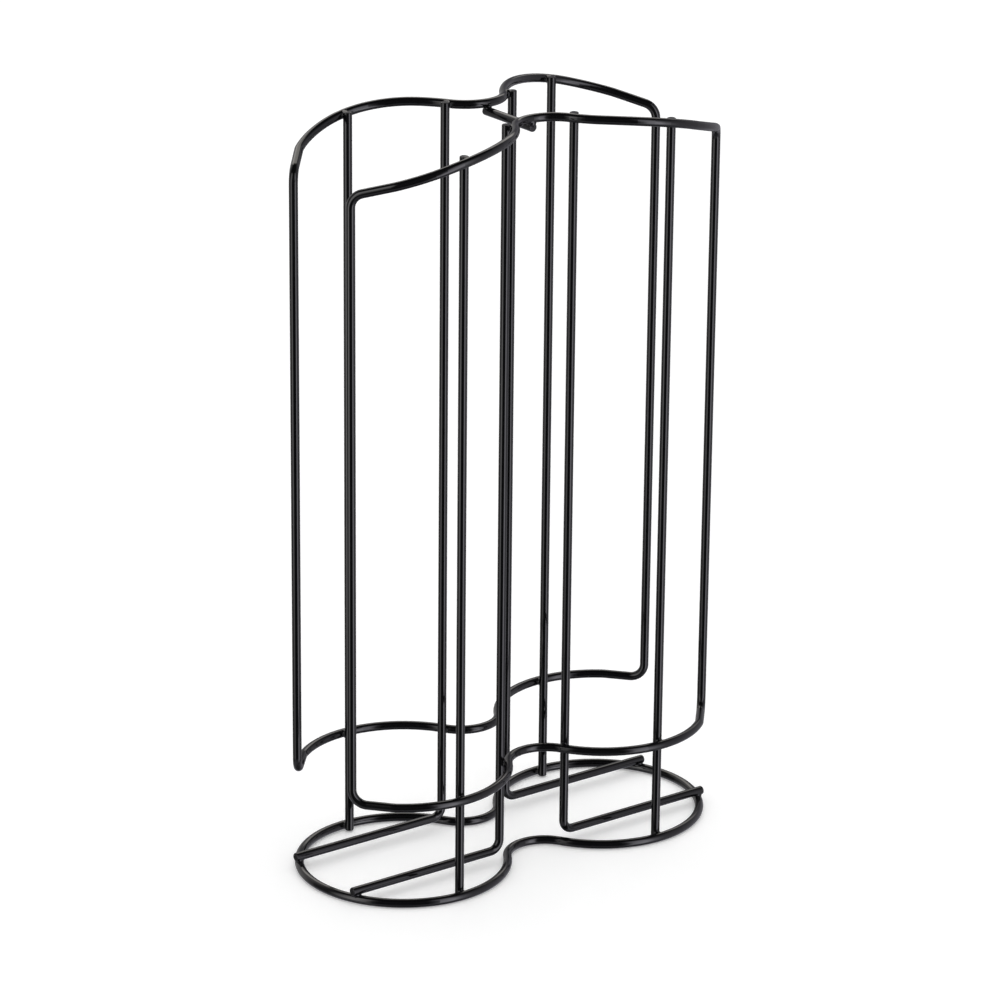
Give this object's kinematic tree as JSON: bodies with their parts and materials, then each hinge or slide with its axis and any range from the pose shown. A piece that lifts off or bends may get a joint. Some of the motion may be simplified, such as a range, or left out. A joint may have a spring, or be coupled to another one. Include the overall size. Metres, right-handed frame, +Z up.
{
  "type": "wire capsule holder",
  "caption": "Free-standing rack of black coated wire with two round bays joined at a waist, which keeps disc capsules stacked in two columns.",
  "frame": {"origin": "on the table under the middle of the waist, halfway between the two lobes of the base ring", "axes": "+Z up; +X through the centres of the two lobes; +Y across the waist, from the front frame to the rear frame"},
  "size_m": [0.1836, 0.0864, 0.3033],
  "materials": {
    "coated_wire": "glossy black coating on round steel wire"
  },
  "bodies": {
    "root": {"base_ring": "coated_wire", "front_frame": "coated_wire", "rear_frame": "coated_wire", "front_left_post": "coated_wire", "front_left_leg_post": "coated_wire", "front_right_post": "coated_wire", "front_right_leg_post": "coated_wire", "rear_left_post": "coated_wire", "rear_left_leg_post": "coated_wire", "rear_right_post": "coated_wire", "rear_right_leg_post": "coated_wire", "top_brace": "coated_wire"}
  },
  "joints": []
}
